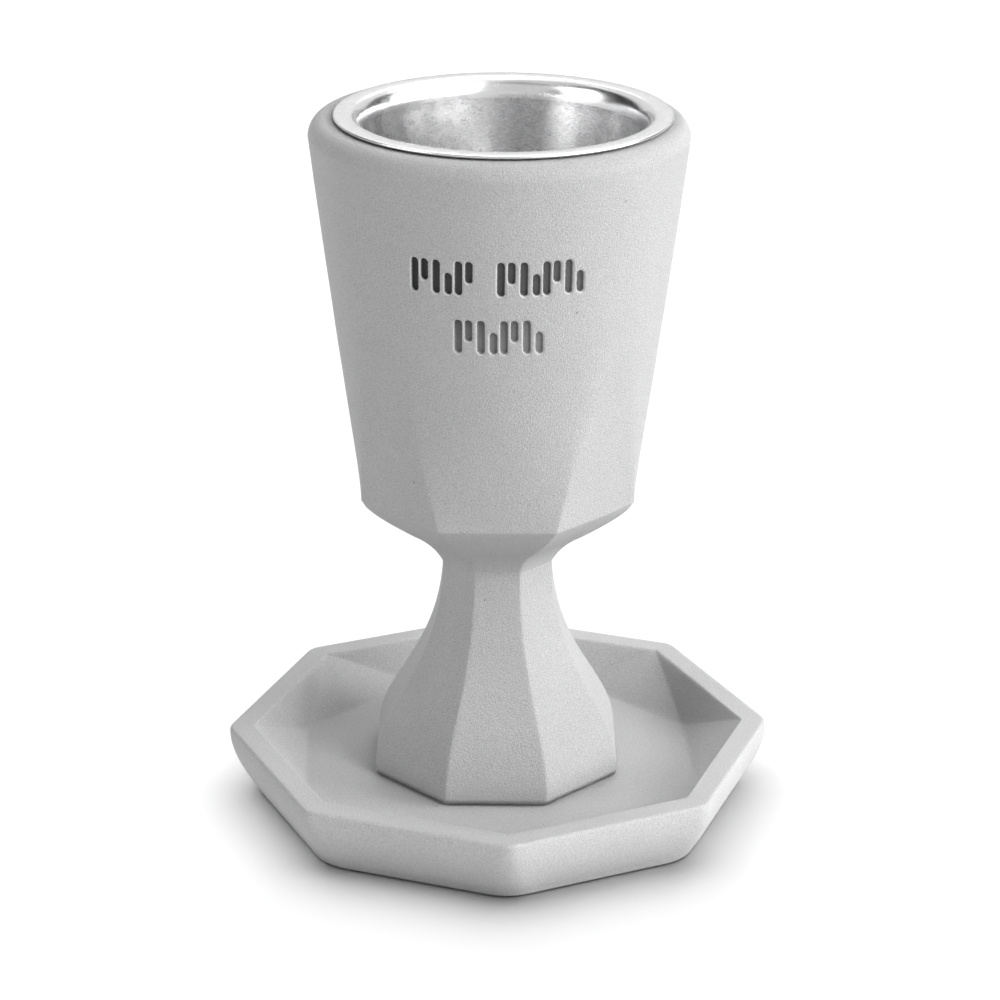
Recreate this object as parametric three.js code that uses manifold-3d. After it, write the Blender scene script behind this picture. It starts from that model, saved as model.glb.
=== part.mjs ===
// A kiddush cup: a cast concrete goblet with a drop-in steel liner, standing in its cast tray.
// Millimetres. +Z is up and the goblet's engraved face looks towards -Y.
import * as THREE from 'three';
import { mergeVertices } from 'three/addons/utils/BufferGeometryUtils.js';
import Module from 'manifold-3d';

const wasm = await Module();
wasm.setup();

// ---------- driving dimensions ----------

const SIDES = 8; // the tray, the foot and the bottom of the bowl are octagons
const CORNER_STEP = 2 * Math.PI / SIDES;
const HALF_SIDE = CORNER_STEP / 2;
const CLEARANCE = 0.3; // between pieces that touch

// Octagon sizes are measured from the axis to a corner.
const tray = {
  height: 14.8,
  topCorner: 58.4,
  baseCorner: 52.6,
  wallBulge: 1.6, // how far the outer wall bows out, most of it in its upper half
  wallSkew: 0.28,
  rimCorner: 53.0,
  floorCorner: 45.4,
  floorHeight: 5.5,
  topFillet: 4.2, // the outer corners are rounder at the bottom than at the top
  baseFillet: 10.8,
  rimFillet: 1.5,
  edgeBevel: 0.7,
  turn: THREE.MathUtils.degToRad(2.4),
};

const goblet = {
  offset: new THREE.Vector3(-0.4, 3.5, tray.floorHeight + CLEARANCE),
  footCorner: 27.95,
  footBevel: 0.3,
  bellSwell: 2.1, // outward pull of the bell just above the foot
  bellLow: 14.2, // heights between which the bell turns inwards
  bellHigh: 21.7,
  neckCorner: 12.6,
  neckHeight: 47.4,
  neckFlare: new THREE.Vector2(6.5, 6.4), // how far the neck flares out and up
  underHeight: 61.6, // where the underside meets the side of the bowl
  underCorner: 30.8,
  sideReach: 2.4, // the bottom corner's rounding up the side
  underReach: 12.0, // and along the underside
  sideTopRadius: 39.05,
  sideTopHeight: 139.0,
  sideBulge: 0.15, // how far the side bows outwards between its two ends
  lipHeight: 142.8,
  lipRound: 3.0,
  mouthRadius: 32.6,
  cavityRadius: 26.5,
  cavityHeight: 76.0,
  cavityRound: 6.0,
  mouthTaper: new THREE.Vector2(0.6, 3.0), // in and down, from the mouth into the cavity
};

const liner = {
  shift: 0.8, // it sits a little off the goblet's axis, towards +X
  flangeRadius: 34.6,
  thickness: 0.7,
  throatRadius: 31.4, // inner edge of the flat flange
  mouthRadius: 29.0, // where the smooth throat ends and the wall begins
  throatDrop: 4.2,
  floorRadius: 24.0,
  floorRound: 9.0,
  depth: 62.0,
};

// Groups of leaning strokes sunk in the front of the bowl, in two rows, long and short in turn.
const engraving = {
  width: 1.5,
  depth: 0.9,
  tall: 7.2,
  short: 4.6,
  lean: THREE.MathUtils.degToRad(9),
  pitch: 2.3, // from one stroke to the next
  groups: [
    { middle: -10.3, height: 119.4, strokes: 6 },
    { middle: 9.7, height: 119.4, strokes: 8 },
    { middle: -0.8, height: 107.0, strokes: 8 },
  ],
};

const CONCRETE = { color: 0xc9cac8, roughness: 0.9, metalness: 0 };
const STEEL = { color: 0xd2d4d6, roughness: 0.25, metalness: 1 };

// ---------- rings and lofts ----------

// Azimuth 0 is the front, -Y, and it grows towards +X.
function polar(radius, azimuth, z) {
  return new THREE.Vector3(radius * Math.sin(azimuth), -radius * Math.cos(azimuth), z);
}

// A closed solid through rings of equal point counts, capped at both ends from a centre point.
function loft(rings, startCentre, endCentre) {
  const count = rings[0].length;
  const points = [...rings.flat(), startCentre, endCentre];
  const start = points.length - 2;
  const end = points.length - 1;
  const faces = [];
  const addFace = (a, b, c) => {
    const touching = points[a].distanceTo(points[b]) * points[b].distanceTo(points[c]);
    if (touching * points[c].distanceTo(points[a]) > 1e-9) {
      faces.push(a, b, c);
    }
  };
  for (let i = 0; i < count; i++) {
    const next = (i + 1) % count;
    addFace(start, next, i);
    for (let r = 0; r + 1 < rings.length; r++) {
      const low = r * count;
      const high = low + count;
      addFace(low + i, low + next, high + next);
      addFace(low + i, high + next, high + i);
    }
    const last = (rings.length - 1) * count;
    addFace(end, last + i, last + next);
  }
  const geometry = new THREE.BufferGeometry().setFromPoints(points);
  geometry.setIndex(faces);
  return mergeVertices(geometry, 1e-5);
}

// ---------- booleans ----------

function toSolid(geometry) {
  const bare = geometry.clone();
  bare.deleteAttribute('normal');
  bare.deleteAttribute('uv');
  const merged = mergeVertices(bare, 1e-5);
  return new wasm.Manifold(new wasm.Mesh({
    numProp: 3,
    vertProperties: new Float32Array(merged.attributes.position.array),
    triVerts: new Uint32Array(merged.index.array),
  }));
}

function toGeometry(solid) {
  const mesh = solid.getMesh();
  const geometry = new THREE.BufferGeometry();
  geometry.setAttribute('position', new THREE.BufferAttribute(mesh.vertProperties, 3));
  geometry.setIndex(new THREE.BufferAttribute(mesh.triVerts, 1));
  return geometry;
}

function namedMesh(name, geometry, finish) {
  geometry.computeVertexNormals();
  const mesh = new THREE.Mesh(geometry, new THREE.MeshStandardMaterial(finish));
  mesh.name = name;
  return mesh;
}

// ---------- tray ----------

const FILLET_STEPS = 4;
const WALL_RINGS = 5;

// An octagon with rounded corners, the first corner at the front.
function filletedRing(cornerRadius, fillet, z) {
  const ring = [];
  const centreRadius = cornerRadius - fillet / Math.cos(HALF_SIDE);
  for (let k = 0; k < SIDES; k++) {
    const azimuth = k * CORNER_STEP;
    for (let i = 0; i <= FILLET_STEPS; i++) {
      const swing = HALF_SIDE * (2 * i / FILLET_STEPS - 1);
      ring.push(polar(centreRadius, azimuth, z).add(polar(fillet, azimuth + swing, 0)));
    }
  }
  return ring;
}

// The dish floor is an octagon turned by half a side, so its corners face the rim's sides
// and the wall between them is a band of sixteen triangles.
function dishFloorRing(cornerRadius, z) {
  const ring = [];
  for (let k = 0; k < SIDES; k++) {
    const before = polar(cornerRadius, k * CORNER_STEP - HALF_SIDE, z);
    const after = polar(cornerRadius, k * CORNER_STEP + HALF_SIDE, z);
    for (let i = 0; i <= FILLET_STEPS; i++) {
      ring.push(before.clone().lerp(after, i / FILLET_STEPS));
    }
  }
  return ring;
}

// Outer wall of the tray at a share of its height: corner radius and corner fillet.
function wallAt(share) {
  const bow = tray.wallBulge * 4 * share * (1 - share) * (1 + tray.wallSkew * (2 * share - 1));
  return [
    THREE.MathUtils.lerp(tray.baseCorner, tray.topCorner, share) + bow,
    THREE.MathUtils.lerp(tray.baseFillet, tray.topFillet, share),
  ];
}

function makeTray() {
  const bevel = tray.edgeBevel;
  const rings = [filletedRing(tray.baseCorner - bevel, tray.baseFillet, 0)];
  for (let i = 0; i <= WALL_RINGS; i++) {
    const z = THREE.MathUtils.lerp(bevel, tray.height - bevel, i / WALL_RINGS);
    rings.push(filletedRing(...wallAt(z / tray.height), z));
  }
  rings.push(
    filletedRing(tray.topCorner - bevel, tray.topFillet, tray.height),
    filletedRing(tray.rimCorner, tray.rimFillet, tray.height),
    dishFloorRing(tray.floorCorner, tray.floorHeight),
  );
  const geometry = loft(
    rings,
    new THREE.Vector3(0, 0, 0),
    new THREE.Vector3(0, 0, tray.floorHeight),
  );
  const mesh = namedMesh('tray', geometry, CONCRETE);
  mesh.rotation.z = tray.turn;
  return mesh;
}

// ---------- goblet ----------

// Every ring of the goblet has the same stations. Four sides of the octagon, the front one
// among them, open upwards into quarters of the round lip. The four between them narrow
// upwards into the points where those quarters meet.
const QUARTER_STEPS = 10;

function gobletRing(cornerPart, roundPart, z) {
  const ring = [];
  for (let quarter = 0; quarter < SIDES / 2; quarter++) {
    const facing = quarter * 2 * CORNER_STEP;
    const from = polar(cornerPart, facing - HALF_SIDE, 0);
    const to = polar(cornerPart, facing + HALF_SIDE, 0);
    for (let i = 0; i <= QUARTER_STEPS; i++) {
      const share = i / QUARTER_STEPS;
      const azimuth = facing + CORNER_STEP * (2 * share - 1);
      const point = polar(roundPart, azimuth, z);
      ring.push(point.add(from.clone().lerp(to, share)));
    }
  }
  return ring;
}

const BELL_RINGS = 10;
const FLARE_RINGS = 4;
const CORNER_RINGS = 5;
const SIDE_RINGS = 6;
const LIP_RINGS = 5;
const NECK_KINK = new THREE.Vector2(0.1, 0.35); // shares of the flare, so it leaves at a crease
const FLARE_PULL = new THREE.Vector2(0.48, 0.71);

// The bell of the foot: upright at the bottom, then drawn in to the neck.
const bell = new THREE.CubicBezierCurve(
  new THREE.Vector2(goblet.footCorner, goblet.footBevel),
  new THREE.Vector2(goblet.footCorner + goblet.bellSwell, goblet.bellLow),
  new THREE.Vector2(goblet.neckCorner, goblet.bellHigh),
  new THREE.Vector2(goblet.neckCorner, goblet.neckHeight),
);

// The underside of the bowl flares out of the neck, then runs straight to the bottom corner.
const flare = new THREE.CubicBezierCurve(
  new THREE.Vector2(goblet.neckCorner, goblet.neckHeight),
  new THREE.Vector2(
    goblet.neckCorner + goblet.neckFlare.x * NECK_KINK.x,
    goblet.neckHeight + goblet.neckFlare.y * NECK_KINK.y,
  ),
  new THREE.Vector2(
    goblet.neckCorner + goblet.neckFlare.x * FLARE_PULL.x,
    goblet.neckHeight + goblet.neckFlare.y * FLARE_PULL.y,
  ),
  new THREE.Vector2(goblet.neckCorner, goblet.neckHeight).add(goblet.neckFlare),
);

// Octagon corner and circle parts of the bowl's side at a height, from its bottom to the lip.
function sideParts(z) {
  const rise = (z - goblet.underHeight) / (goblet.sideTopHeight - goblet.underHeight);
  const share = rise + goblet.sideBulge * rise * (1 - rise);
  return [goblet.underCorner * (1 - share), goblet.sideTopRadius * share];
}

function gobletSkin() {
  const rings = [gobletRing(goblet.footCorner - goblet.footBevel, 0, 0)];
  for (const p of bell.getPoints(BELL_RINGS)) {
    rings.push(gobletRing(p.x, 0, p.y));
  }
  for (const p of flare.getPoints(FLARE_RINGS).slice(1)) {
    rings.push(gobletRing(p.x, 0, p.y));
  }
  // The bottom corner is crisp at the side and eases long into the underside.
  const flareEnd = flare.getPoint(1);
  const slope = new THREE.Vector2(goblet.underCorner, goblet.underHeight).sub(flareEnd);
  slope.normalize();
  const sideBottom = goblet.underHeight + goblet.sideReach;
  const [sideCorner, sideRound] = sideParts(sideBottom);
  for (let i = 0; i <= CORNER_RINGS; i++) {
    const t = i / CORNER_RINGS;
    const early = (1 - t) * (1 - t);
    const middle = 2 * t * (1 - t);
    const late = t * t;
    const corner = early * (goblet.underCorner - slope.x * goblet.underReach)
      + middle * goblet.underCorner + late * sideCorner;
    const z = early * (goblet.underHeight - slope.y * goblet.underReach)
      + middle * goblet.underHeight + late * sideBottom;
    rings.push(gobletRing(corner, late * sideRound, z));
  }
  // straight side, then the lip
  for (let i = 1; i <= SIDE_RINGS; i++) {
    const z = THREE.MathUtils.lerp(sideBottom, goblet.sideTopHeight, i / SIDE_RINGS);
    rings.push(gobletRing(...sideParts(z), z));
  }
  const lipCentre = goblet.sideTopRadius - goblet.lipRound;
  const lipRise = goblet.lipHeight - goblet.sideTopHeight;
  for (let i = 1; i <= LIP_RINGS; i++) {
    const angle = i / LIP_RINGS * Math.PI / 2;
    const radius = lipCentre + goblet.lipRound * Math.cos(angle);
    rings.push(gobletRing(0, radius, goblet.sideTopHeight + lipRise * Math.sin(angle)));
  }
  // cavity for the liner
  rings.push(gobletRing(0, goblet.mouthRadius, goblet.lipHeight));
  const { cavityRound, cavityRadius, cavityHeight } = goblet;
  rings.push(gobletRing(0, goblet.mouthRadius - goblet.mouthTaper.x,
    goblet.lipHeight - goblet.mouthTaper.y));
  rings.push(gobletRing(0, cavityRadius, cavityHeight + cavityRound));
  rings.push(gobletRing(0, cavityRadius - cavityRound, cavityHeight));
  return loft(
    rings,
    new THREE.Vector3(0, 0, 0),
    new THREE.Vector3(0, 0, goblet.cavityHeight),
  );
}

// A point of the bowl's front side, at a sideways distance from its middle.
function frontPoint(x, z) {
  const [cornerPart, roundPart] = sideParts(z);
  const swing = x / (roundPart * CORNER_STEP + cornerPart * Math.sin(HALF_SIDE));
  const flat = new THREE.Vector3(
    cornerPart * Math.sin(HALF_SIDE) * swing,
    -cornerPart * Math.cos(HALF_SIDE),
    0,
  );
  return polar(roundPart, swing * CORNER_STEP, z).add(flat);
}

// A round-ended slot cutter that stands on the front side, its length leaning from upright.
function makeCutter(x, z, length, lean) {
  const radius = engraving.width / 2;
  const reach = length / 2 - radius;
  const outline = new THREE.Shape();
  outline.absarc(0, reach, radius, 0, Math.PI);
  outline.absarc(0, -reach, radius, Math.PI, 2 * Math.PI);
  const geometry = new THREE.ExtrudeGeometry(outline, {
    depth: 2 * engraving.depth,
    bevelEnabled: false,
    curveSegments: 4,
  });
  geometry.translate(0, 0, -engraving.depth);
  geometry.rotateZ(-lean);
  const step = 0.5;
  const across = frontPoint(x + step, z).sub(frontPoint(x - step, z)).normalize();
  const up = frontPoint(x, z + step).sub(frontPoint(x, z - step)).normalize();
  const out = across.clone().cross(up).normalize();
  const placing = new THREE.Matrix4().makeBasis(across, out.clone().cross(across), out);
  geometry.applyMatrix4(placing.setPosition(frontPoint(x, z)));
  return toSolid(geometry);
}

// Every other stroke is short, and the short ones sit high and low in turn.
function engravingCutters() {
  const cutters = [];
  for (const group of engraving.groups) {
    for (let i = 0; i < group.strokes; i++) {
      const x = group.middle + (i - (group.strokes - 1) / 2) * engraving.pitch;
      const isTall = i % 2 === 0;
      const length = isTall ? engraving.tall : engraving.short;
      const rise = (engraving.tall - length) / 2 * (i % 4 === 1 ? 1 : -1);
      cutters.push(makeCutter(x, group.height + rise, length, engraving.lean));
    }
  }
  return cutters;
}

function makeGoblet() {
  let body = toSolid(gobletSkin());
  for (const cutter of engravingCutters()) {
    body = body.subtract(cutter);
  }
  const mesh = namedMesh('goblet', toGeometry(body), CONCRETE);
  mesh.position.copy(goblet.offset);
  return mesh;
}

// ---------- liner ----------

const LINER_SEGMENTS = 40;
const ROUND_STEPS = 3;
const THROAT_MIDDLE = new THREE.Vector2(0.35, 0.27); // shares of the throat's width and drop
const THROAT_LEAN = 0.6; // share of the steel's thickness that the outer throat is set out by

// Half of the liner's section, from the bottom of its axis to its flange. offset moves it
// outwards and down from the inner face by the steel's thickness.
function linerSection(top, offset) {
  const floor = top - liner.depth + liner.thickness;
  const round = liner.floorRound;
  const points = [new THREE.Vector2(0, floor - offset)];
  for (let i = 0; i <= ROUND_STEPS; i++) {
    const angle = i / ROUND_STEPS * Math.PI / 2;
    points.push(new THREE.Vector2(
      liner.floorRadius - round + (round + offset) * Math.sin(angle),
      floor + round - (round + offset) * Math.cos(angle),
    ));
  }
  const throat = liner.throatRadius - liner.mouthRadius;
  points.push(new THREE.Vector2(liner.mouthRadius + offset, top - liner.throatDrop - offset));
  points.push(new THREE.Vector2(
    liner.mouthRadius + throat * THROAT_MIDDLE.x + offset * THROAT_LEAN,
    top - liner.throatDrop * THROAT_MIDDLE.y - offset,
  ));
  points.push(new THREE.Vector2(liner.throatRadius, top - offset));
  return points;
}

function makeLiner() {
  const steel = liner.thickness;
  const top = goblet.offset.z + goblet.lipHeight + CLEARANCE + steel;
  const rim = [
    new THREE.Vector2(liner.flangeRadius - steel / 2, top - steel),
    new THREE.Vector2(liner.flangeRadius, top - steel / 2),
    new THREE.Vector2(liner.flangeRadius - steel / 2, top),
  ];
  const profile = [...linerSection(top, steel), ...rim, ...linerSection(top, 0).reverse()];
  const geometry = new THREE.LatheGeometry(profile, LINER_SEGMENTS);
  const mesh = namedMesh('liner', toGeometry(toSolid(geometry)), STEEL);
  mesh.position.set(goblet.offset.x + liner.shift, goblet.offset.y, 0);
  mesh.rotation.x = Math.PI / 2;
  return mesh;
}

const cup = new THREE.Group();
cup.add(makeTray(), makeGoblet(), makeLiner());

export default cup;
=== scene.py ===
"""A kiddush cup: a cast concrete goblet with a steel liner, standing in its cast tray.

Shapes are worked out in millimetres, and make_piece turns them into metres. The sizes of a
material's features are in millimetres too. Lights, floor and camera are in metres.
"""
import math

import bmesh
import bpy
import numpy as np
from mathutils import Matrix, noise, Vector


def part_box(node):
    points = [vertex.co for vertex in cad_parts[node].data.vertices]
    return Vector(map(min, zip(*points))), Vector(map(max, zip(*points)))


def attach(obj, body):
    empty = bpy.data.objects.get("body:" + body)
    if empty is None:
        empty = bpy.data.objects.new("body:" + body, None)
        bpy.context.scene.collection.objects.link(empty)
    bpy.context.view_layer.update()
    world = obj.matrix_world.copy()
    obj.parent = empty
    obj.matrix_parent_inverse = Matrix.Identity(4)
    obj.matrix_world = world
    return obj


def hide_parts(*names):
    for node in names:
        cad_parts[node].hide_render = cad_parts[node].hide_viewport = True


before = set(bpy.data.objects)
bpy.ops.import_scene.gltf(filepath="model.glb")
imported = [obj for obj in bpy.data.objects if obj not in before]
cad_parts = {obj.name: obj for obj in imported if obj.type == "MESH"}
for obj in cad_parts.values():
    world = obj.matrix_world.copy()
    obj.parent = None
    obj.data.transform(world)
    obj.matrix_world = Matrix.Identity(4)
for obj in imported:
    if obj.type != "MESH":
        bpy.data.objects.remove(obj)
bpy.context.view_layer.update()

MM = 0.001
SIDES = 8
CORNER_STEP = 2 * math.pi / SIDES
HALF_SIDE = CORNER_STEP / 2

# ---------- sizes in millimetres, as in the solids ----------

# the tray, whose radii run to the corners of its octagons before they are rounded
TRAY_HEIGHT = 14.8
TRAY_TOP = 58.4
TRAY_BASE = 52.6
WALL_BULGE = 1.6
WALL_SKEW = 0.28  # shifts the bulge upwards
TRAY_RIM = 53.0
DISH_FLOOR = 45.4
DISH_Z = 5.5
TOP_FILLET = 4.2
BASE_FILLET = 10.8
RIM_FILLET = 1.5
TRAY_BEVEL = 0.7
TRAY_TURN = math.radians(2.4)

# the goblet's foot and neck, whose radii run to the corners
FOOT = 27.95
FOOT_BEVEL = 0.3
FOOT_RIM = ((0.9, 0), (0.75, 0.25), (0.15, 0.4))  # steps of its underside's edge, in and up
BELL_SWELL = 2.1
BELL_LOW = 14.2
BELL_HIGH = 21.7
NECK = 12.6
NECK_Z = 47.4
FLARE = (6.5, 6.4)  # out and up
FLARE_BEND = ((0.17, 0.33), (0.48, 0.71))  # shares of it at the curve's two inner points
# the bowl, octagonal at its bottom and round at its top
UNDER = 30.8
UNDER_Z = 61.6
SIDE_REACH = 2.4
UNDER_REACH = 12.0
SIDE_TOP = 39.05
SIDE_TOP_Z = 139.0
SIDE_BULGE = 0.15
LIP_Z = 142.8
LIP_ROUND = 3.0
MOUTH = 32.6
CAVITY = 26.5
CAVITY_Z = 76.0

# the liner
FLANGE = 34.6
STEEL = 0.7
THROAT = 31.4
THROAT_WALL = 29.0
THROAT_DROP = 4.2
LINER_FLOOR = 24.0
LINER_ROUND = 9.0
LINER_DEPTH = 62.0

# the engraving: each group has its middle, its height and its number of strokes
STROKE_WIDTH = 1.5
STROKE_DEPTH = 0.9
STROKE_TALL = 7.2
STROKE_SHORT = 4.6
STROKE_LEAN = math.radians(9)
STROKE_PITCH = 2.3
STROKE_GROUPS = ((-10.3, 119.4, 6), (9.7, 119.4, 8), (-0.8, 107.0, 8))

# ---------- finer forms of the surfaces, in millimetres ----------

EDGE = 0.3  # how far the cast corners are softened
CRISP = 0.6  # share of the bowl's bottom curve kept at the front and back
WORN = 0.985  # the same at the sides
WORN_FROM = 0.75  # where the wear begins, from 0 at the front to 1 at a side's middle
CORNER_FADE = (66, 112)  # heights over which the bowl's corners soften
CORNER_BLUR = 2.8  # how much softer they get
ROUND_BLUR = 2  # the same for the round lip, where it no longer shows
STROKE_LIP = 0.13  # depth of the shallow bevel round each stroke
LIP_EDGES = (0.05, 0.34)  # the bevel's start and end, outwards from the stroke's edge
WALL_EDGES = (-0.14, 0.12)  # the same for the stroke's steep wall
CAST_DEPTH = 0.04  # unevenness of the cast
CAST_SIZE = 11.0
CREASE = 0.05  # softness of the dish's creases at the rim
FLOOR_CREASE = 0.16  # how much softer they are at the floor
DISH_EDGE = 0.1  # softness of the dish's rim at the front
BACK_EDGE = 0.35  # how much softer it is at the back
BACK_Y = 25  # where the back begins

# ---------- how densely the meshes are drawn ----------

RING_KEYS = np.linspace(0, SIDES, SIDES * 320, endpoint=False)
RING_SAMPLES = 4096
FRONT_MIDDLE = 0.5  # the key of the front's middle
ENGRAVED_BAND = (102.4, 124.4)  # heights with dense rows
HOLD_BAND = (78, 98)  # heights over which the points leave the corners and run upright
REFERENCE_Z = 112  # the height that spaces the upright points
INNER_ROWS = 8  # rows over the lip and into the cavity, which stay smooth
CORNER_POINTS = 8  # of the tray, at each corner
SIDE_POINTS = 78  # of the tray, between two corners
LINER_POINTS = 256


# ---------- helpers ----------

def polar(radius, azimuth):
    """Azimuth 0 is the front, -Y, and it grows towards +X."""
    return np.stack([radius * np.sin(azimuth), -radius * np.cos(azimuth)], -1)


def bezier(points, count):
    """Points along a cubic curve."""
    t = np.linspace(0, 1, count)[:, None]
    a, b, c, d = (np.array(p, float) for p in points)
    return (1 - t) ** 3 * a + 3 * t * (1 - t) ** 2 * b + 3 * t * t * (1 - t) * c + t ** 3 * d


def quadratic(start, middle, end, t):
    """A quadratic curve at t."""
    return (1 - t) ** 2 * start + 2 * t * (1 - t) * middle + t * t * end


def smoothstep(low, high, value):
    t = np.clip((value - low) / (high - low), 0, 1)
    return t * t * (3 - 2 * t)


def grid_normals(grid):
    """Outward normals of a grid of rings (first axis up, second round towards +azimuth)."""
    around = np.roll(grid, -1, 1) - np.roll(grid, 1, 1)
    up = np.gradient(grid, axis=0)
    normal = np.cross(around, up)
    length = np.linalg.norm(normal, axis=-1, keepdims=True)
    return normal / np.maximum(length, 1e-9)


def centre_of(low, high):
    """The middle of a box seen from above, in millimetres."""
    return [(low[0] + high[0]) / 2 / MM, (low[1] + high[1]) / 2 / MM]


def make_piece(name, grid, ends, node, recess=None):
    """A closed mesh through rings of points, capped at both ends, in place of its solid."""
    rings, count = grid.shape[:2]
    points = np.concatenate([grid.reshape(-1, 3), np.array(ends, float)]) * MM
    faces = []
    for r in range(rings - 1):
        low, high = r * count, (r + 1) * count
        for i in range(count):
            after = (i + 1) % count
            faces.append((low + i, low + after, high + after, high + i))
    start, end, last = rings * count, rings * count + 1, (rings - 1) * count
    for i in range(count):
        after = (i + 1) % count
        faces.append((start, after, i))
        faces.append((end, last + i, last + after))
    mesh = bpy.data.meshes.new(name)
    mesh.from_pydata(points.tolist(), [], faces)
    if recess is not None:
        layer = mesh.attributes.new("recess", "FLOAT", "POINT")
        layer.data.foreach_set("value", np.append(recess.ravel(), [0, 0]))
    mesh.validate()
    bm = bmesh.new()
    bm.from_mesh(mesh)
    bmesh.ops.remove_doubles(bm, verts=bm.verts, dist=2e-6)
    bmesh.ops.dissolve_degenerate(bm, edges=bm.edges, dist=1e-7)
    for face in bm.faces:
        face.smooth = True
    bm.to_mesh(mesh)
    bm.free()
    piece = bpy.data.objects.new(name, mesh)
    bpy.context.scene.collection.objects.link(piece)
    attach(piece, "root")
    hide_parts(node)
    return piece


# ---------- goblet ----------

def side_keys(margin, count, with_ends):
    """Places along one side from 0 to 1: crowded in the margins and even in between."""
    crowded = (1 - np.cos(np.linspace(0, math.pi / 2, 9)))[:-1] * margin
    if not with_ends:
        crowded = crowded[1:]
    return np.concatenate([crowded, np.linspace(margin, 1 - margin, count), 1 - crowded[::-1]])


def goblet_stations():
    """Keys all round the bowl, whose corners lie at whole numbers.

    Even sides open up into the lip and odd sides close to points. The front, side 0, is dense
    enough for the engraving.
    """
    front = side_keys(0.09, 206, True)
    opening = side_keys(0.12, 18, True)
    closing = side_keys(0.25, 5, False)
    return np.concatenate([side + (closing if side % 2 else opening if side else front)
                           for side in range(SIDES)])


def goblet_outline(key, corner, rounded):
    """Points of one ring before its corners are softened."""
    side = np.floor(key)
    share = (key - side)[:, None]
    first = side * CORNER_STEP - HALF_SIDE
    opening = side % 2 == 0
    swing = np.where(opening, first + HALF_SIDE + CORNER_STEP * (2 * (key - side) - 1),
                     first + HALF_SIDE)
    flat = polar(corner, first) * (1 - share) + polar(corner, first + CORNER_STEP) * share
    return flat + polar(rounded, swing)


def smooth_ring(keys, shares, hold, corner, rounded, blur):
    """A ring with its corners softened, and each point's way round from the front's middle.

    Points stay on their keys where hold is 0, and on fixed shares of the way round where it
    is 1.
    """
    sharp = goblet_outline(RING_KEYS, corner, rounded)
    sharp = np.concatenate([sharp, sharp[:1]])
    way = np.concatenate([[0], np.cumsum(np.linalg.norm(np.diff(sharp, axis=0), axis=1))])
    total = way[-1]
    even = np.linspace(0, total, RING_SAMPLES + 1)
    waves = np.fft.rfftfreq(RING_SAMPLES, total / RING_SAMPLES)
    damp = np.exp(-0.5 * (2 * math.pi * waves * blur) ** 2)
    soft = [np.fft.irfft(np.fft.rfft(np.interp(even[:-1], way, sharp[:, axis])) * damp,
                         RING_SAMPLES) for axis in range(2)]
    ring_keys = np.append(RING_KEYS, SIDES)
    place = np.interp(keys, ring_keys, way) * (1 - hold) + shares * total * hold
    points = np.stack([np.interp(place, even, np.append(line, line[0])) for line in soft], -1)
    middle = np.interp(FRONT_MIDDLE, ring_keys, way) * (1 - hold)
    held_middle = np.interp(FRONT_MIDDLE, keys, shares) * total * hold
    return points, place - middle - held_middle


def side_parts(z):
    """How much of the bowl's side is octagon and how much is round, at a height."""
    rise = (z - UNDER_Z) / (SIDE_TOP_Z - UNDER_Z)
    share = rise + SIDE_BULGE * rise * (1 - rise)
    return UNDER * (1 - share), SIDE_TOP * share


def bottom_edge(kept):
    """The curve from underside to side, as (corner part, round part, height) points.

    Only its kept share is drawn; the rest runs straight on to a crisp edge.
    """
    slope = np.array([UNDER - NECK - FLARE[0], 0, UNDER_Z - NECK_Z - FLARE[1]])
    middle = np.array([UNDER, 0, UNDER_Z])
    start = middle - slope / np.linalg.norm(slope) * UNDER_REACH
    end = np.array([*side_parts(UNDER_Z + SIDE_REACH), UNDER_Z + SIDE_REACH])
    edge = middle + (end - middle) * kept
    t = np.linspace(0, kept, 24)[:, None]
    curve = quadratic(start, middle, end, t)
    # the crisp edge itself is rounded a little
    reach = 0.4 * min(np.linalg.norm(edge - curve[-1]), np.linalg.norm(end - edge), 1.0)
    before = edge + (curve[-1] - edge) * reach / np.linalg.norm(curve[-1] - edge)
    after = edge + (end - edge) * reach / np.linalg.norm(end - edge)
    t = np.linspace(0, 1, 6)[:, None]
    return np.concatenate([curve, quadratic(before, edge, after, t), end[None]])


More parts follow.
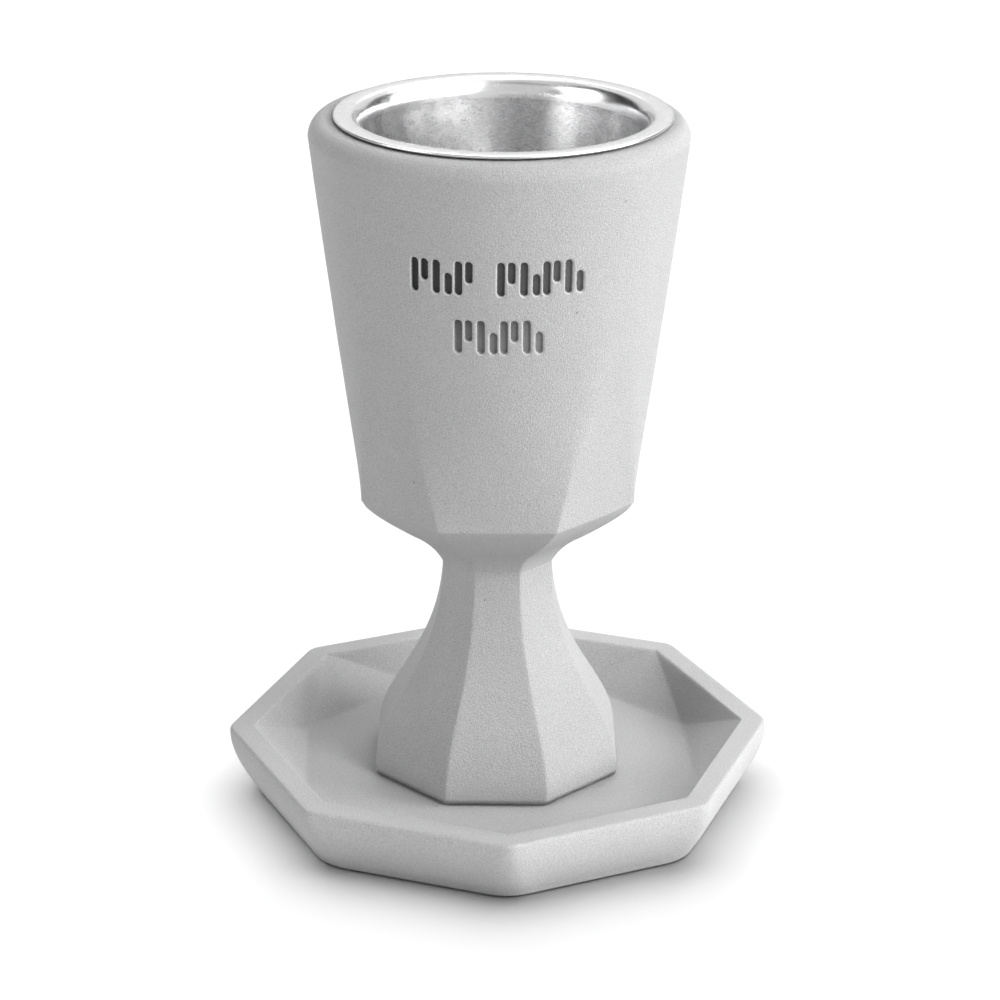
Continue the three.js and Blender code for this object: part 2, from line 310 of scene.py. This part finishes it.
def goblet_profile(kept):
    """(corner part, round part, height, corner blur) from the foot up and into the cavity."""
    rows = [(FOOT - inward, 0, z, EDGE) for inward, z in FOOT_RIM]
    bell = bezier([(FOOT, FOOT_BEVEL), (FOOT + BELL_SWELL, BELL_LOW), (NECK, BELL_HIGH),
                   (NECK, NECK_Z)], 36)
    rows += [(r, 0, z, EDGE) for r, z in bell]
    rows.append((NECK + 0.04, 0, NECK_Z + 0.08, EDGE))
    flare = bezier([(NECK + FLARE[0] * out, NECK_Z + FLARE[1] * up)
                    for out, up in ((0, 0), *FLARE_BEND, (1, 1))], 10)
    rows += [(r, 0, z, EDGE) for r, z in flare[1:]]
    edge = bottom_edge(kept)
    for t in np.linspace(0, 1, 4)[1:-1]:
        rows.append((flare[-1][0] * (1 - t) + edge[0][0] * t, 0,
                     flare[-1][1] * (1 - t) + edge[0][2] * t, EDGE))
    rows += [(*point, EDGE) for point in edge]
    low, high = ENGRAVED_BAND
    heights = np.concatenate([np.linspace(UNDER_Z + SIDE_REACH, low, 18)[1:],
                              np.linspace(low, high, 100)[1:],
                              np.linspace(high, SIDE_TOP_Z, 12)[1:]])
    for z in heights:
        blur = EDGE + CORNER_BLUR * float(smoothstep(*CORNER_FADE, z))
        rows.append((*side_parts(z), z, blur))
    centre, rise = SIDE_TOP - LIP_ROUND, LIP_Z - SIDE_TOP_Z
    for angle in np.linspace(0, math.pi / 2, 14)[1:]:
        rows.append((0, centre + LIP_ROUND * math.cos(angle),
                     SIDE_TOP_Z + rise * math.sin(angle), ROUND_BLUR))
    for radius, z in ((MOUTH + 0.4, LIP_Z), (MOUTH, LIP_Z - 0.4), (MOUTH - 0.6, LIP_Z - 3),
                      (CAVITY, CAVITY_Z + 6), (CAVITY - 2, CAVITY_Z + 2),
                      (CAVITY - 6, CAVITY_Z)):
        rows.append((0, radius, z, ROUND_BLUR))
    return rows


def stroke_depth(x, z):
    """How deep the engraving is at a place on the unrolled front side."""
    nearest = np.full(x.shape, 99.0)
    for middle, height, strokes in STROKE_GROUPS:
        for i in range(strokes):
            centre = middle + (i - (strokes - 1) / 2) * STROKE_PITCH
            length = STROKE_TALL if i % 2 == 0 else STROKE_SHORT
            rise = (STROKE_TALL - length) / 2 * (1 if i % 4 == 1 else -1)
            reach = (length - STROKE_WIDTH) / 2
            dx, dz = x - centre, z - height - rise
            along = dx * math.sin(STROKE_LEAN) + dz * math.cos(STROKE_LEAN)
            across = dx * math.cos(STROKE_LEAN) - dz * math.sin(STROKE_LEAN)
            past = np.maximum(np.abs(along) - reach, 0)
            nearest = np.minimum(nearest, np.hypot(across, past))
    half = STROKE_WIDTH / 2
    bevel = 1 - smoothstep(half + LIP_EDGES[0], half + LIP_EDGES[1], nearest)
    cut = 1 - smoothstep(half + WALL_EDGES[0], half + WALL_EDGES[1], nearest)
    return STROKE_LIP * bevel + (STROKE_DEPTH - STROKE_LIP) * cut


def make_goblet():
    keys = goblet_stations()
    rows = goblet_profile(CRISP)
    worn_rows = goblet_profile(WORN)
    sideways = np.abs(np.sin((keys - FRONT_MIDDLE) * CORNER_STEP))
    worn = smoothstep(WORN_FROM, 1.0, sideways)[:, None]
    reference = side_parts(REFERENCE_Z)
    _, way = smooth_ring(keys, np.zeros(len(keys)), 0, *reference, ROUND_BLUR)
    outline = goblet_outline(RING_KEYS, *reference)
    shares = (way - way[0]) / np.linalg.norm(np.roll(outline, -1, 0) - outline, axis=1).sum()
    grid = np.zeros((len(rows), len(keys), 3))
    depth = np.zeros(grid.shape[:2])
    for r, (corner, rounded, z, blur) in enumerate(rows):
        hold = float(smoothstep(*HOLD_BAND, z))
        grid[r, :, :2], way = smooth_ring(keys, shares, hold, corner, rounded, blur)
        grid[r, :, 2] = z
        if worn_rows[r] != rows[r]:
            corner, rounded, height, blur = worn_rows[r]
            ring, _ = smooth_ring(keys, shares, hold, corner, rounded, blur)
            ring = np.concatenate([ring, np.full((len(keys), 1), height)], 1)
            grid[r] = grid[r] * (1 - worn) + ring * worn
        depth[r] = stroke_depth(way, np.full(len(keys), z)) * (keys < 1)
    recess = depth / STROKE_DEPTH
    # faint unevenness of the cast, always inwards
    outside = len(rows) - INNER_ROWS
    for r in range(outside):
        for i in range(len(keys)):
            uneven = noise.noise(Vector(grid[r, i]) / CAST_SIZE)
            depth[r, i] += CAST_DEPTH + CAST_DEPTH * uneven
    depth[outside:] = 0
    recess[outside:] = 0
    grid = grid - grid_normals(grid) * depth[:, :, None]
    grid[:, :, 2] = np.maximum(grid[:, :, 2], 0)
    low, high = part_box("goblet")
    centre, base = centre_of(low, high), low[2] / MM
    grid += np.array(centre + [base])
    ends = [centre + [base], centre + [base + CAVITY_Z]]
    return make_piece("goblet_cast", grid, ends, "goblet", recess)


# ---------- tray ----------

def octagon(corner_radius, fillet):
    """An octagon with rounded corners, the first corner at the front."""
    centre = corner_radius - fillet / math.cos(HALF_SIDE)
    ring = []
    for k in range(SIDES):
        azimuth = k * CORNER_STEP
        swings = azimuth + HALF_SIDE * np.linspace(-1, 1, CORNER_POINTS)
        corner = polar(centre, np.array([azimuth])) + polar(fillet, swings)
        after = azimuth + CORNER_STEP
        far = polar(centre, np.array([after])) + polar(fillet, np.array([after - HALF_SIDE]))
        t = np.linspace(0, 1, SIDE_POINTS + 2)[1:-1, None]
        ring += [corner, corner[-1:] * (1 - t) + far * t]
    return np.concatenate(ring)


def dish_height(x, y):
    """The dish: a floor and sixteen facets, with creases that soften towards the floor."""
    drop = TRAY_HEIGHT - DISH_Z
    inward = math.cos(HALF_SIDE)
    facets = ((0, DISH_FLOOR * inward, TRAY_RIM), (HALF_SIDE, DISH_FLOOR, TRAY_RIM * inward))
    planes = [np.full(x.shape, DISH_Z)]
    for k in range(SIDES):
        for turn, start, end in facets:
            azimuth = k * CORNER_STEP + turn
            out = x * math.sin(azimuth) - y * math.cos(azimuth)
            planes.append(DISH_Z + (out - start) * drop / (end - start))
    planes = np.array(planes)
    sharp = planes.max(0)
    soft = CREASE + FLOOR_CREASE * (1 - smoothstep(DISH_Z, DISH_Z + drop * 0.6, sharp))
    height = sharp + soft * np.log(np.exp((planes - sharp) / soft).sum(0))
    edge = DISH_EDGE + BACK_EDGE * smoothstep(0, BACK_Y, y)
    return -edge * np.logaddexp(-height / edge, -TRAY_HEIGHT / edge)


def wall_ring(z):
    """The outer wall bows out, and its corners are rounder towards the bottom."""
    share = z / TRAY_HEIGHT
    bow = WALL_BULGE * 4 * share * (1 - share) * (1 + WALL_SKEW * (2 * share - 1))
    return octagon(TRAY_BASE + (TRAY_TOP - TRAY_BASE) * share + bow,
                   BASE_FILLET + (TOP_FILLET - BASE_FILLET) * share)


def make_tray():
    bevel = TRAY_BEVEL
    rings = []
    # the bevel round the underside, the wall and the bevel round the top
    inner = octagon(TRAY_BASE - bevel, BASE_FILLET)
    outer = wall_ring(bevel)
    for angle in np.linspace(0, math.pi / 2, 5)[:-1]:
        rings.append((inner + (outer - inner) * math.sin(angle), bevel * (1 - math.cos(angle))))
    for z in np.linspace(bevel, TRAY_HEIGHT - bevel, 14):
        rings.append((wall_ring(z), z))
    outer = wall_ring(TRAY_HEIGHT - bevel)
    inner = octagon(TRAY_TOP - bevel, TOP_FILLET)
    for angle in np.linspace(0, math.pi / 2, 7)[1:]:
        rings.append((outer + (inner - outer) * (1 - math.cos(angle)),
                      TRAY_HEIGHT - bevel * (1 - math.sin(angle))))
    # the flat top, as far as just outside the dish
    rim = octagon(TRAY_RIM, RIM_FILLET)
    for t in (0.25, 0.5, 0.75):
        rings.append((inner * (1 - t) + rim * 1.02 * t, TRAY_HEIGHT))
    grid = [np.concatenate([ring, np.full((len(ring), 1), z)], 1) for ring, z in rings]
    # the dish's rim, facets and floor, as shrinking copies of the rim's outline
    for size in np.concatenate([np.linspace(1.015, 0.985, 10),
                                np.linspace(0.985, 0.76, 50)[1:],
                                np.linspace(0.76, 0.05, 14)[1:]]):
        ring = rim * size
        height = dish_height(ring[:, 0], ring[:, 1])
        grid.append(np.concatenate([ring, height[:, None]], 1))
    grid = np.array(grid)
    turn = np.array([[math.cos(TRAY_TURN), math.sin(TRAY_TURN)],
                     [-math.sin(TRAY_TURN), math.cos(TRAY_TURN)]])
    grid[:, :, :2] = grid[:, :, :2] @ turn
    centre = centre_of(*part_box("tray"))
    grid[:, :, :2] += centre
    ends = [centre + [0], centre + [DISH_Z]]
    return make_piece("tray_cast", grid, ends, "tray")


# ---------- liner ----------

def liner_section(top, offset):
    """(radius, height) points from the floor's middle up to the flange.

    The offset is how far out they lie from the inner face.
    """
    floor = top - LINER_DEPTH + STEEL
    reach = LINER_ROUND
    points = [(0.6, floor - offset)]
    for angle in np.linspace(0, math.pi / 2, 14):
        points.append((LINER_FLOOR - reach + (reach + offset) * math.sin(angle),
                       floor + reach - (reach + offset) * math.cos(angle)))
    wall_low, wall_high = points[-1], (THROAT_WALL + offset, top - THROAT_DROP - offset)
    for t in np.linspace(0, 1, 24)[1:]:
        points.append((wall_low[0] * (1 - t) + wall_high[0] * t,
                       wall_low[1] * (1 - t) + wall_high[1] * t))
    for angle in np.linspace(0, math.pi / 2, 12)[1:]:
        points.append((THROAT - (THROAT - THROAT_WALL - offset) * math.cos(angle),
                       top - offset - THROAT_DROP * (1 - math.sin(angle))))
    return points


def make_liner():
    low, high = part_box("liner")
    top = high[2] / MM
    flat = THROAT + 1.5  # well onto the flat flange
    half = STEEL / 2
    rim = [(FLANGE - half + half * math.cos(a), top - half + half * math.sin(a))
           for a in np.linspace(-math.pi / 2, math.pi / 2, 11)]
    profile = [*liner_section(top, STEEL), (flat, top - STEEL), *rim, (flat, top),
               *liner_section(top, 0)[::-1]]
    azimuths = np.linspace(0, 2 * math.pi, LINER_POINTS, endpoint=False)
    grid = np.array([np.concatenate([polar(r, azimuths), np.full((LINER_POINTS, 1), z)], 1)
                     for r, z in profile])
    centre = centre_of(low, high)
    grid[:, :, :2] += centre
    ends = [centre + [profile[0][1]], centre + [profile[-1][1]]]
    return make_piece("liner_steel", grid, ends, "liner")


# ---------- materials ----------

# sizes in millimetres of the concrete's features
CLOUD_SIZE = 14
SAND_SIZE = 0.34
SPECK_SIZE = 0.26
HOLE_PITCH = 7.5
HOLE_PATCH = 9
# the concrete's greys, as shares of white
BODY_GREYS = (0.42, 0.44)
SPECK_GREY = 0.29
DARK_SPECK_GREY = 0.22
SAND_GREY = 0.52
# painted shade in the pinholes
HOLE_SHADE_GREY = 0.15
# painted shade on the engraving's floor, from darkest to palest
ENGRAVED_SHADE_GREYS = (0.045, 0.25)
# painted highlight on the bevel round the strokes
BEVEL_HIGHLIGHT_GREY = 0.66
BLUE_TINT = 1.004
# where the engraving's painted shade shifts, in millimetres
ENGRAVED_SHADE_X = (-18, 18)
ENGRAVED_SHADE_Z = (122, 112)
# sizes in millimetres of the steel's features
SCUFF_SIZE = 2.5
GRAIN_SIZE = 0.35
BRUSH_SIZE = 0.3
# size of the painted reflection's patches
REFLECTION_PATCH_SIZE = 9


class Nodes:
    """Short names for building a material's node tree."""

    def __init__(self, name):
        self.material = bpy.data.materials.new(name)
        self.material.use_nodes = True
        self.tree = self.material.node_tree
        self.shader = self.tree.nodes["Principled BSDF"]

    def feed(self, socket, value):
        """Link an output to the socket, or set the socket to a value."""
        if isinstance(value, bpy.types.NodeSocket):
            self.tree.links.new(value, socket)
        else:
            socket.default_value = value

    def put(self, **sockets):
        """Feed the shader's own sockets."""
        for key, value in sockets.items():
            self.feed(self.shader.inputs[key.replace("_", " ")], value)

    def add(self, kind, **sockets):
        node = self.tree.nodes.new(kind)
        for key, value in sockets.items():
            self.feed(node.inputs[key], value)
        return node

    def noise(self, place, size, detail=2.0):
        """Noise whose features are about that many millimetres."""
        node = self.add("ShaderNodeTexNoise", Vector=place, Scale=1 / (size * MM),
                        Detail=detail, Roughness=0.5)
        return node.outputs["Fac"]

    def stretch(self, place, scale):
        """A place for noise that is drawn out along the axes whose scale is small."""
        node = self.add("ShaderNodeMapping", Vector=place, Scale=scale)
        return node.outputs["Vector"]

    def ramp(self, value, low, high, start=0.0, end=1.0):
        """From start to end as the value goes from low to high, and flat beyond them."""
        node = self.add("ShaderNodeMapRange", Value=value)
        node.clamp = True
        for key, number in zip(("From Min", "From Max", "To Min", "To Max"),
                               (low, high, start, end)):
            node.inputs[key].default_value = number
        return node.outputs["Result"]

    def math(self, operation, a, b):
        node = self.add("ShaderNodeMath")
        node.operation = operation
        self.feed(node.inputs[0], a)
        self.feed(node.inputs[1], b)
        return node.outputs[0]

    def mix(self, amount, a, b):
        """Colour a, going over to colour b as the amount goes from 0 to 1."""
        node = self.add("ShaderNodeMix")
        node.data_type = "RGBA"
        self.feed(node.inputs[0], amount)
        self.feed(node.inputs[6], a)
        self.feed(node.inputs[7], b)
        return node.outputs[2]

    def bump(self, height, strength, depth):
        """The shader's relief, up to that many millimetres deep."""
        node = self.add("ShaderNodeBump", Height=height, Strength=strength, Distance=depth * MM)
        self.put(Normal=node.outputs["Normal"])


def concrete(name, pale, relief):
    """Fine pale cast concrete: sandy grain, faint clouding, fine specks and pinholes, with
    painted shade in the pinholes and engraving and a painted highlight on the strokes' bevel.
    """
    n = Nodes(name)

    def grey(level):
        return (level * pale, level * pale, level * pale * BLUE_TINT, 1)

    place = n.add("ShaderNodeTexCoord").outputs["Object"]
    cloud = n.noise(place, CLOUD_SIZE, 3)
    sand = n.noise(place, SAND_SIZE)
    speck = n.noise(place, SPECK_SIZE, 1)
    colour = n.mix(n.ramp(cloud, 0.3, 0.7), grey(BODY_GREYS[0]), grey(BODY_GREYS[1]))
    colour = n.mix(n.ramp(speck, 0.35, 0.65, 0, 0.7), colour, grey(SPECK_GREY))
    colour = n.mix(n.ramp(speck, 0.72, 0.78, 0, 0.5), colour, grey(DARK_SPECK_GREY))
    colour = n.mix(n.ramp(sand, 0.6, 0.75, 0, 0.3), colour, grey(SAND_GREY))
    # pinholes, only in some patches, dented by the relief and darkened with painted shade
    holes = n.add("ShaderNodeTexVoronoi", Vector=place, Scale=1 / (HOLE_PITCH * MM))
    hole = n.math("MULTIPLY", n.ramp(holes.outputs["Distance"], 0.02, 0.035, 1, 0),
                  n.ramp(n.noise(place, HOLE_PATCH, 1), 0.5, 0.56))
    colour = n.mix(n.math("MULTIPLY", hole, 0.5), colour, grey(HOLE_SHADE_GREY))
    # painted shade: the engraving's floor is painted dark, most of all at the left and in the
    # upper row
    recess = n.add("ShaderNodeAttribute")
    recess.attribute_name = "recess"
    deep = recess.outputs["Fac"]
    axes = n.add("ShaderNodeSeparateXYZ", Vector=place)
    (left, right), (upper, lower) = ENGRAVED_SHADE_X, ENGRAVED_SHADE_Z
    shade = n.math("ADD", n.ramp(axes.outputs["X"], left * MM, right * MM, 0.0, 0.35),
                   n.ramp(axes.outputs["Z"], upper * MM, lower * MM, 0.0, 0.65))
    shade = n.math("ADD", shade, n.ramp(cloud, 0.3, 0.7, -0.1, 0.1))
    engraved_shade = n.mix(shade, grey(ENGRAVED_SHADE_GREYS[0]), grey(ENGRAVED_SHADE_GREYS[1]))
    # painted highlight: the bevel round the strokes is painted pale
    bevel = n.math("MULTIPLY", n.ramp(deep, 0.03, 0.10, 0, 0.5), n.ramp(deep, 0.2, 0.4, 1, 0))
    colour = n.mix(bevel, colour, grey(BEVEL_HIGHLIGHT_GREY))
    # the painted shade goes onto the engraving's floor
    colour = n.mix(n.ramp(deep, 0.44, 0.62), colour, engraved_shade)
    n.put(Base_Color=colour, Roughness=n.ramp(sand, 0.3, 0.7, 0.72, 0.88),
          Specular_IOR_Level=0.3)
    grain = n.math("ADD", n.math("MULTIPLY", sand, 0.8), n.math("MULTIPLY", speck, 0.6))
    n.bump(n.math("SUBTRACT", grain, n.math("MULTIPLY", hole, 1.5)), 1.0, relief)
    return n.material


def polished_steel(name):
    """The liner's flange and throat: smooth, with hardly any grain."""
    n = Nodes(name)
    place = n.add("ShaderNodeTexCoord").outputs["Object"]
    grain = n.noise(place, GRAIN_SIZE)
    colour = n.mix(n.ramp(grain, 0.35, 0.65), (0.78, 0.78, 0.785, 1), (0.84, 0.84, 0.845, 1))
    rough = n.ramp(n.noise(place, SCUFF_SIZE, 3), 0.3, 0.7, 0.22, 0.28)
    n.put(Metallic=1, Base_Color=colour, Roughness=rough)
    n.bump(grain, 0.15, 0.02)
    return n.material


def satin_steel(name):
    """The liner's wall: finely brushed round and round, with darker and paler upright patches
    of painted reflection.
    """
    n = Nodes(name)
    place = n.add("ShaderNodeTexCoord").outputs["Object"]
    brushed = n.noise(n.stretch(place, (0.3, 0.3, 1.0)), BRUSH_SIZE, 1)
    grain = n.noise(place, GRAIN_SIZE)
    mottle = n.math("ADD", n.math("MULTIPLY", brushed, 0.6), n.math("MULTIPLY", grain, 0.4))
    fine = n.ramp(mottle, 0.36, 0.64)
    # painted reflection: dark and bright shades of the brushed steel, mixed in upright patches
    dark = n.mix(fine, (0.37, 0.37, 0.375, 1), (0.53, 0.53, 0.535, 1))
    bright = n.mix(fine, (0.64, 0.64, 0.64, 1), (0.82, 0.82, 0.82, 1))
    reflection_patch = n.noise(n.stretch(place, (1.0, 1.0, 0.15)), REFLECTION_PATCH_SIZE, 1)
    colour = n.mix(n.ramp(reflection_patch, 0.36, 0.64, 0.1, 1.0), dark, bright)
    rough = n.ramp(n.noise(place, SCUFF_SIZE, 3), 0.3, 0.7, 0.24, 0.32)
    n.put(Metallic=1, Base_Color=colour, Roughness=rough)
    n.bump(mottle, 0.2, 0.03)
    return n.material


# ---------- the three pieces ----------

goblet = make_goblet()
tray = make_tray()
liner = make_liner()

goblet.data.materials.append(concrete("goblet_concrete_look", 1.03, 0.20))
tray.data.materials.append(concrete("tray_concrete_look", 1.17, 0.10))
liner.data.materials.append(polished_steel("liner_polished_look"))
liner.data.materials.append(satin_steel("liner_satin_look"))
wall_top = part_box("liner")[1][2] - THROAT_DROP * MM
for polygon in liner.data.polygons:
    if polygon.center.z < wall_top:
        polygon.material_index = 1


# ---------- floor, lights and camera ----------

FLOOR_DROP = 0.0001  # keeps the floor just below the tray's underside
GLOW_FROM, GLOW_TO = 0.75, 1.6  # distances over which the paper's own light comes in
GLOW = 0.9
MIDDLE = (0, 0, 0.08)  # what the lights point at
CAMERA_PLACE = (0.000105, -0.6205, 0.3073)
CAMERA_PITCH = 0.3701
CAMERA_ROLL = 0.005
CAMERA_LENS = 113.4
CAMERA_SENSOR = 36


def group(name, *objects):
    """A collection that a light can be linked to."""
    collection = bpy.data.collections.new(name)
    for obj in objects:
        collection.objects.link(obj)
    return collection


def area_light(name, place, target, width, height, watts, lit):
    """A soft box that lights only the objects of one collection."""
    light = bpy.data.lights.new(name, "AREA")
    light.shape = "RECTANGLE"
    light.size, light.size_y, light.energy = width, height, watts
    obj = bpy.data.objects.new(name, light)
    bpy.context.scene.collection.objects.link(obj)
    obj.location = place
    way = Vector(target) - obj.location
    obj.rotation_euler = way.to_track_quat("-Z", "Y").to_euler()
    obj.light_linking.receiver_collection = lit
    return obj


floor_mesh = bpy.data.meshes.new("floor")
floor_mesh.from_pydata([(-4, -4, 0), (4, -4, 0), (4, 6, 0), (-4, 6, 0)], [], [(0, 1, 2, 3)])
floor = bpy.data.objects.new("floor", floor_mesh)
floor.location = (0, 0, -FLOOR_DROP)
bpy.context.scene.collection.objects.link(floor)
paper = Nodes("floor_paper")
paper.put(Base_Color=(0.95, 0.95, 0.95, 1), Roughness=0.9)
# the paper stays white far from the lamps
spot = paper.add("ShaderNodeVectorMath",
                 Vector=paper.add("ShaderNodeTexCoord").outputs["Object"])
spot.operation = "LENGTH"
glow = paper.ramp(spot.outputs["Value"], GLOW_FROM, GLOW_TO, 0, GLOW)
paper.put(Emission_Color=(1, 1, 1, 1), Emission_Strength=glow)
floor_mesh.materials.append(paper.material)

world = bpy.data.worlds.new("studio")
world.use_nodes = True
background = world.node_tree.nodes["Background"]
background.inputs["Color"].default_value = (1, 1, 1, 1)
background.inputs["Strength"].default_value = 0.01
bpy.context.scene.world = world
bpy.context.scene.view_settings.view_transform = "Standard"

cup_only = group("lit_by_cup_lights", goblet, tray, liner)
floor_only = group("lit_by_floor_light", floor)
goblet_only = group("lit_by_rim_light", goblet)
liner_only = group("lit_by_liner_cards", liner)
tray_only = group("shades_the_floor", tray)

# name, place, width, height, watts and what it lights
LIGHTS = (
    ("right", (1.8, -0.3, 0.72), 1.0, 1.2, 34.4, cup_only),
    ("right_front", (1.4, -1.5, 0.82), 1.0, 1.0, 26.2, cup_only),
    ("left_front", (-1.8, -0.7, 0.9), 1.2, 1.2, 15.8, cup_only),
    ("top", (0.2, 0.2, 2.2), 1.6, 1.6, 7.0, cup_only),
    ("top_right", (1.3, 0.3, 1.7), 1.0, 1.0, 7.5, cup_only),
    ("front_high", (1.1, -1.1, 1.6), 1.0, 1.0, 12.8, cup_only),
    ("back", (0.0, 2.7, 2.3), 7.0, 4.4, 80.0, cup_only),
    ("back_high", (0.2, 1.6, 1.75), 1.2, 1.2, 10.6, cup_only),
    # along the goblet's left edge
    ("left_back", (-1.8, 0.7, 0.9), 1.2, 1.2, 6.0, goblet_only),
    # pale cards for the polished liner to mirror
    ("liner_front", (0, -2.3, 1.1), 4.0, 2.2, 18.0, liner_only),
    ("liner_top", (0, -0.2, 2.5), 4.0, 3.0, 24.0, liner_only),
)
for name, place, width, height, watts, lit in LIGHTS:
    area_light(name, place, MIDDLE, width, height, watts, lit)
# the floor's own light, in which only the tray casts a shadow
canopy = area_light("canopy", (-0.1, 0.95, 1.6), (-0.1, 0.95, 0), 2.6, 3.4, 67.0, floor_only)
canopy.light_linking.blocker_collection = tray_only

camera_data = bpy.data.cameras.new("camera")
camera_data.lens = CAMERA_LENS
camera_data.sensor_width = CAMERA_SENSOR
camera = bpy.data.objects.new("camera", camera_data)
bpy.context.scene.collection.objects.link(camera)
camera.matrix_world = (Matrix.Translation(CAMERA_PLACE)
                       @ Matrix.Rotation(math.pi / 2 - CAMERA_PITCH, 4, "X")
                       @ Matrix.Rotation(CAMERA_ROLL, 4, "Z"))
bpy.context.scene.camera = camera
